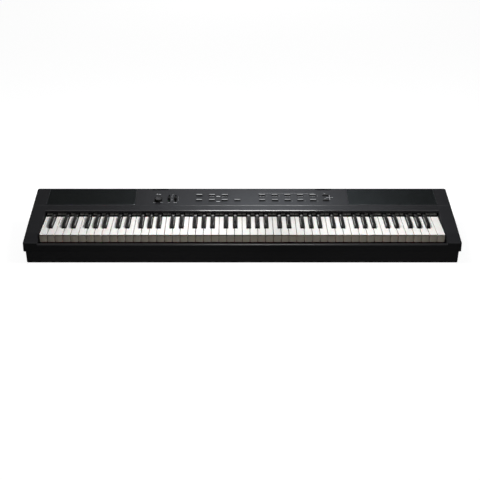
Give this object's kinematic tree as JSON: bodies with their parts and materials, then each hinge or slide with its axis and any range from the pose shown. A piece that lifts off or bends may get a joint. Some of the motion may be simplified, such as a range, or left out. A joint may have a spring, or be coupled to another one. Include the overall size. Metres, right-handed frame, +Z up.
{
  "type": "digital piano",
  "caption": "Full-size portable digital piano: black case with sloping deck, weighted-size keyboard, oblong speaker grilles, push buttons, volume knob and slide controls.",
  "frame": {"origin": "on the surface that the piano stands on, under the middle of its case", "axes": "+X to the player's right, +Y away from the player, +Z up"},
  "size_m": [1.318, 0.31, 0.1225],
  "materials": {
    "black_upper_case": "fine satin texture",
    "black_lower_case": "matte",
    "dark_grille": "matte, perforated look",
    "speaker": "matte",
    "key_rail": "matte",
    "key_felt": "felt",
    "green_board": "lacquered board",
    "main_board": "lacquered board",
    "rubber_foot": "matte",
    "white_key_plastic": "semi-gloss",
    "black_key_plastic": "satin",
    "light_grey_button": "satin",
    "black_knob": "satin",
    "slider_cap": "satin"
  },
  "bodies": {
    "case": {"top_case": "black_upper_case", "bottom_case": "black_lower_case", "left_speaker_grille": "dark_grille", "right_speaker_grille": "dark_grille", "left_speaker": "speaker", "right_speaker": "speaker", "key_front_rail": "key_rail", "key_rear_rail": "key_rail", "key_felt_strip": "key_felt", "panel_board": "green_board", "main_board": "main_board", "front_left_foot": "rubber_foot", "front_right_foot": "rubber_foot", "rear_left_foot": "rubber_foot", "rear_right_foot": "rubber_foot"},
    "octave_1_white_keys_c_e_g_b": {"octave_1_white_keys_c_e_g_b": "white_key_plastic"},
    "octave_1_white_keys_d_f_a": {"octave_1_white_keys_d_f_a": "white_key_plastic"},
    "octave_1_black_keys": {"octave_1_black_keys": "black_key_plastic"},
    "octave_2_white_keys_c_e_g_b": {"octave_2_white_keys_c_e_g_b": "white_key_plastic"},
    "octave_2_white_keys_d_f_a": {"octave_2_white_keys_d_f_a": "white_key_plastic"},
    "octave_2_black_keys": {"octave_2_black_keys": "black_key_plastic"},
    "octave_3_white_keys_c_e_g_b": {"octave_3_white_keys_c_e_g_b": "white_key_plastic"},
    "octave_3_white_keys_d_f_a": {"octave_3_white_keys_d_f_a": "white_key_plastic"},
    "octave_3_black_keys": {"octave_3_black_keys": "black_key_plastic"},
    "octave_4_white_keys_c_e_g_b": {"octave_4_white_keys_c_e_g_b": "white_key_plastic"},
    "octave_4_white_keys_d_f_a": {"octave_4_white_keys_d_f_a": "white_key_plastic"},
    "octave_4_black_keys": {"octave_4_black_keys": "black_key_plastic"},
    "octave_5_white_keys_c_e_g_b": {"octave_5_white_keys_c_e_g_b": "white_key_plastic"},
    "octave_5_white_keys_d_f_a": {"octave_5_white_keys_d_f_a": "white_key_plastic"},
    "octave_5_black_keys": {"octave_5_black_keys": "black_key_plastic"},
    "octave_6_white_keys_c_e_g_b": {"octave_6_white_keys_c_e_g_b": "white_key_plastic"},
    "octave_6_white_keys_d_f_a": {"octave_6_white_keys_d_f_a": "white_key_plastic"},
    "octave_6_black_keys": {"octave_6_black_keys": "black_key_plastic"},
    "octave_7_white_keys_c_e_g_b": {"octave_7_white_keys_c_e_g_b": "white_key_plastic"},
    "octave_7_white_keys_d_f_a": {"octave_7_white_keys_d_f_a": "white_key_plastic"},
    "octave_7_black_keys": {"octave_7_black_keys": "black_key_plastic"},
    "left_upper_button_1": {"left_upper_button_1": "light_grey_button"},
    "left_upper_button_2": {"left_upper_button_2": "light_grey_button"},
    "left_upper_button_3": {"left_upper_button_3": "light_grey_button"},
    "left_lower_button_1": {"left_lower_button_1": "light_grey_button"},
    "left_lower_button_2": {"left_lower_button_2": "light_grey_button"},
    "left_lower_button_3": {"left_lower_button_3": "light_grey_button"},
    "left_lower_button_4": {"left_lower_button_4": "light_grey_button"},
    "right_upper_button_1": {"right_upper_button_1": "light_grey_button"},
    "right_upper_button_2": {"right_upper_button_2": "light_grey_button"},
    "right_upper_button_3": {"right_upper_button_3": "light_grey_button"},
    "right_upper_button_4": {"right_upper_button_4": "light_grey_button"},
    "right_upper_button_5": {"right_upper_button_5": "light_grey_button"},
    "right_upper_button_6": {"right_upper_button_6": "light_grey_button"},
    "right_lower_button_1": {"right_lower_button_1": "light_grey_button"},
    "right_lower_button_2": {"right_lower_button_2": "light_grey_button"},
    "right_lower_button_3": {"right_lower_button_3": "light_grey_button"},
    "right_lower_button_4": {"right_lower_button_4": "light_grey_button"},
    "right_lower_button_5": {"right_lower_button_5": "light_grey_button"},
    "right_lower_button_6": {"right_lower_button_6": "light_grey_button"},
    "volume_knob": {"volume_knob": "black_knob"},
    "left_slide_control": {"left_slide_control": "slider_cap"},
    "right_slide_control": {"right_slide_control": "slider_cap"}
  },
  "joints": [
    {"name": "octave_1_white_keys_c_e_g_b_joint", "type": "hinge", "parent": "case", "child": "octave_1_white_keys_c_e_g_b", "pos_m": [0, 0.058, 0.0825], "axis": [1, 0, 0], "range_deg": [0, 3.05], "stiffness_Nm_per_rad": 2.8, "springref_deg": -11.46},
    {"name": "octave_1_white_keys_d_f_a_joint", "type": "hinge", "parent": "case", "child": "octave_1_white_keys_d_f_a", "pos_m": [0, 0.058, 0.0745], "axis": [1, 0, 0], "range_deg": [0, 3.05], "stiffness_Nm_per_rad": 2.8, "springref_deg": -11.46},
    {"name": "octave_1_black_keys_joint", "type": "hinge", "parent": "case", "child": "octave_1_black_keys", "pos_m": [0, 0.058, 0.091], "axis": [1, 0, 0], "range_deg": [0, 3.8], "stiffness_Nm_per_rad": 1.6, "springref_deg": -11.46},
    {"name": "octave_2_white_keys_c_e_g_b_joint", "type": "hinge", "parent": "case", "child": "octave_2_white_keys_c_e_g_b", "pos_m": [0, 0.058, 0.0825], "axis": [1, 0, 0], "range_deg": [0, 3.05], "stiffness_Nm_per_rad": 2.8, "springref_deg": -11.46},
    {"name": "octave_2_white_keys_d_f_a_joint", "type": "hinge", "parent": "case", "child": "octave_2_white_keys_d_f_a", "pos_m": [0, 0.058, 0.0745], "axis": [1, 0, 0], "range_deg": [0, 3.05], "stiffness_Nm_per_rad": 2.8, "springref_deg": -11.46},
    {"name": "octave_2_black_keys_joint", "type": "hinge", "parent": "case", "child": "octave_2_black_keys", "pos_m": [0, 0.058, 0.091], "axis": [1, 0, 0], "range_deg": [0, 3.8], "stiffness_Nm_per_rad": 1.6, "springref_deg": -11.46},
    {"name": "octave_3_white_keys_c_e_g_b_joint", "type": "hinge", "parent": "case", "child": "octave_3_white_keys_c_e_g_b", "pos_m": [0, 0.058, 0.0825], "axis": [1, 0, 0], "range_deg": [0, 3.05], "stiffness_Nm_per_rad": 2.8, "springref_deg": -11.46},
    {"name": "octave_3_white_keys_d_f_a_joint", "type": "hinge", "parent": "case", "child": "octave_3_white_keys_d_f_a", "pos_m": [0, 0.058, 0.0745], "axis": [1, 0, 0], "range_deg": [0, 3.05], "stiffness_Nm_per_rad": 2.8, "springref_deg": -11.46},
    {"name": "octave_3_black_keys_joint", "type": "hinge", "parent": "case", "child": "octave_3_black_keys", "pos_m": [0, 0.058, 0.091], "axis": [1, 0, 0], "range_deg": [0, 3.8], "stiffness_Nm_per_rad": 1.6, "springref_deg": -11.46},
    {"name": "octave_4_white_keys_c_e_g_b_joint", "type": "hinge", "parent": "case", "child": "octave_4_white_keys_c_e_g_b", "pos_m": [0, 0.058, 0.0825], "axis": [1, 0, 0], "range_deg": [0, 3.05], "stiffness_Nm_per_rad": 2.8, "springref_deg": -11.46},
    {"name": "octave_4_white_keys_d_f_a_joint", "type": "hinge", "parent": "case", "child": "octave_4_white_keys_d_f_a", "pos_m": [0, 0.058, 0.0745], "axis": [1, 0, 0], "range_deg": [0, 3.05], "stiffness_Nm_per_rad": 2.8, "springref_deg": -11.46},
    {"name": "octave_4_black_keys_joint", "type": "hinge", "parent": "case", "child": "octave_4_black_keys", "pos_m": [0, 0.058, 0.091], "axis": [1, 0, 0], "range_deg": [0, 3.8], "stiffness_Nm_per_rad": 1.6, "springref_deg": -11.46},
    {"name": "octave_5_white_keys_c_e_g_b_joint", "type": "hinge", "parent": "case", "child": "octave_5_white_keys_c_e_g_b", "pos_m": [0, 0.058, 0.0825], "axis": [1, 0, 0], "range_deg": [0, 3.05], "stiffness_Nm_per_rad": 2.8, "springref_deg": -11.46},
    {"name": "octave_5_white_keys_d_f_a_joint", "type": "hinge", "parent": "case", "child": "octave_5_white_keys_d_f_a", "pos_m": [0, 0.058, 0.0745], "axis": [1, 0, 0], "range_deg": [0, 3.05], "stiffness_Nm_per_rad": 2.8, "springref_deg": -11.46},
    {"name": "octave_5_black_keys_joint", "type": "hinge", "parent": "case", "child": "octave_5_black_keys", "pos_m": [0, 0.058, 0.091], "axis": [1, 0, 0], "range_deg": [0, 3.8], "stiffness_Nm_per_rad": 1.6, "springref_deg": -11.46},
    {"name": "octave_6_white_keys_c_e_g_b_joint", "type": "hinge", "parent": "case", "child": "octave_6_white_keys_c_e_g_b", "pos_m": [0, 0.058, 0.0825], "axis": [1, 0, 0], "range_deg": [0, 3.05], "stiffness_Nm_per_rad": 2.8, "springref_deg": -11.46},
    {"name": "octave_6_white_keys_d_f_a_joint", "type": "hinge", "parent": "case", "child": "octave_6_white_keys_d_f_a", "pos_m": [0, 0.058, 0.0745], "axis": [1, 0, 0], "range_deg": [0, 3.05], "stiffness_Nm_per_rad": 2.8, "springref_deg": -11.46},
    {"name": "octave_6_black_keys_joint", "type": "hinge", "parent": "case", "child": "octave_6_black_keys", "pos_m": [0, 0.058, 0.091], "axis": [1, 0, 0], "range_deg": [0, 3.8], "stiffness_Nm_per_rad": 1.6, "springref_deg": -11.46},
    {"name": "octave_7_white_keys_c_e_g_b_joint", "type": "hinge", "parent": "case", "child": "octave_7_white_keys_c_e_g_b", "pos_m": [0, 0.058, 0.0825], "axis": [1, 0, 0], "range_deg": [0, 3.05], "stiffness_Nm_per_rad": 2.8, "springref_deg": -11.46},
    {"name": "octave_7_white_keys_d_f_a_joint", "type": "hinge", "parent": "case", "child": "octave_7_white_keys_d_f_a", "pos_m": [0, 0.058, 0.0745], "axis": [1, 0, 0], "range_deg": [0, 3.05], "stiffness_Nm_per_rad": 2.8, "springref_deg": -11.46},
    {"name": "octave_7_black_keys_joint", "type": "hinge", "parent": "case", "child": "octave_7_black_keys", "pos_m": [0, 0.058, 0.091], "axis": [1, 0, 0], "range_deg": [0, 3.8], "stiffness_Nm_per_rad": 1.6, "springref_deg": -11.46},
    {"name": "left_upper_button_1_joint", "type": "slide", "parent": "case", "child": "left_upper_button_1", "axis": [0, 0.1551, -0.9879], "range_m": [0, 0.0013], "stiffness_N_per_m": 250, "springref_m": -0.002},
    {"name": "left_upper_button_2_joint", "type": "slide", "parent": "case", "child": "left_upper_button_2", "axis": [0, 0.1551, -0.9879], "range_m": [0, 0.0013], "stiffness_N_per_m": 250, "springref_m": -0.002},
    {"name": "left_upper_button_3_joint", "type": "slide", "parent": "case", "child": "left_upper_button_3", "axis": [0, 0.1551, -0.9879], "range_m": [0, 0.0013], "stiffness_N_per_m": 250, "springref_m": -0.002},
    {"name": "left_lower_button_1_joint", "type": "slide", "parent": "case", "child": "left_lower_button_1", "axis": [0, 0.1551, -0.9879], "range_m": [0, 0.0013], "stiffness_N_per_m": 250, "springref_m": -0.002},
    {"name": "left_lower_button_2_joint", "type": "slide", "parent": "case", "child": "left_lower_button_2", "axis": [0, 0.1551, -0.9879], "range_m": [0, 0.0013], "stiffness_N_per_m": 250, "springref_m": -0.002},
    {"name": "left_lower_button_3_joint", "type": "slide", "parent": "case", "child": "left_lower_button_3", "axis": [0, 0.1551, -0.9879], "range_m": [0, 0.0013], "stiffness_N_per_m": 250, "springref_m": -0.002},
    {"name": "left_lower_button_4_joint", "type": "slide", "parent": "case", "child": "left_lower_button_4", "axis": [0, 0.1551, -0.9879], "range_m": [0, 0.0013], "stiffness_N_per_m": 250, "springref_m": -0.002},
    {"name": "right_upper_button_1_joint", "type": "slide", "parent": "case", "child": "right_upper_button_1", "axis": [0, 0.1551, -0.9879], "range_m": [0, 0.0013], "stiffness_N_per_m": 250, "springref_m": -0.002},
    {"name": "right_upper_button_2_joint", "type": "slide", "parent": "case", "child": "right_upper_button_2", "axis": [0, 0.1551, -0.9879], "range_m": [0, 0.0013], "stiffness_N_per_m": 250, "springref_m": -0.002},
    {"name": "right_upper_button_3_joint", "type": "slide", "parent": "case", "child": "right_upper_button_3", "axis": [0, 0.1551, -0.9879], "range_m": [0, 0.0013], "stiffness_N_per_m": 250, "springref_m": -0.002},
    {"name": "right_upper_button_4_joint", "type": "slide", "parent": "case", "child": "right_upper_button_4", "axis": [0, 0.1551, -0.9879], "range_m": [0, 0.0013], "stiffness_N_per_m": 250, "springref_m": -0.002},
    {"name": "right_upper_button_5_joint", "type": "slide", "parent": "case", "child": "right_upper_button_5", "axis": [0, 0.1551, -0.9879], "range_m": [0, 0.0013], "stiffness_N_per_m": 250, "springref_m": -0.002},
    {"name": "right_upper_button_6_joint", "type": "slide", "parent": "case", "child": "right_upper_button_6", "axis": [0, 0.1551, -0.9879], "range_m": [0, 0.0013], "stiffness_N_per_m": 250, "springref_m": -0.002},
    {"name": "right_lower_button_1_joint", "type": "slide", "parent": "case", "child": "right_lower_button_1", "axis": [0, 0.1551, -0.9879], "range_m": [0, 0.0013], "stiffness_N_per_m": 250, "springref_m": -0.002},
    {"name": "right_lower_button_2_joint", "type": "slide", "parent": "case", "child": "right_lower_button_2", "axis": [0, 0.1551, -0.9879], "range_m": [0, 0.0013], "stiffness_N_per_m": 250, "springref_m": -0.002},
    {"name": "right_lower_button_3_joint", "type": "slide", "parent": "case", "child": "right_lower_button_3", "axis": [0, 0.1551, -0.9879], "range_m": [0, 0.0013], "stiffness_N_per_m": 250, "springref_m": -0.002},
    {"name": "right_lower_button_4_joint", "type": "slide", "parent": "case", "child": "right_lower_button_4", "axis": [0, 0.1551, -0.9879], "range_m": [0, 0.0013], "stiffness_N_per_m": 250, "springref_m": -0.002},
    {"name": "right_lower_button_5_joint", "type": "slide", "parent": "case", "child": "right_lower_button_5", "axis": [0, 0.1551, -0.9879], "range_m": [0, 0.0013], "stiffness_N_per_m": 250, "springref_m": -0.002},
    {"name": "right_lower_button_6_joint", "type": "slide", "parent": "case", "child": "right_lower_button_6", "axis": [0, 0.1551, -0.9879], "range_m": [0, 0.0013], "stiffness_N_per_m": 250, "springref_m": -0.002},
    {"name": "volume_knob_joint", "type": "hinge", "parent": "case", "child": "volume_knob", "pos_m": [-0.265, 0.0808, 0.11066], "axis": [0, -0.1551, 0.9879], "range_deg": [-150, 150]},
    {"name": "left_slide_control_joint", "type": "slide", "parent": "case", "child": "left_slide_control", "axis": [0, 0.9879, 0.1551], "range_m": [-0.0105, 0.0195]},
    {"name": "right_slide_control_joint", "type": "slide", "parent": "case", "child": "right_slide_control", "axis": [0, 0.9879, 0.1551], "range_m": [-0.0105, 0.0195]}
  ]
}
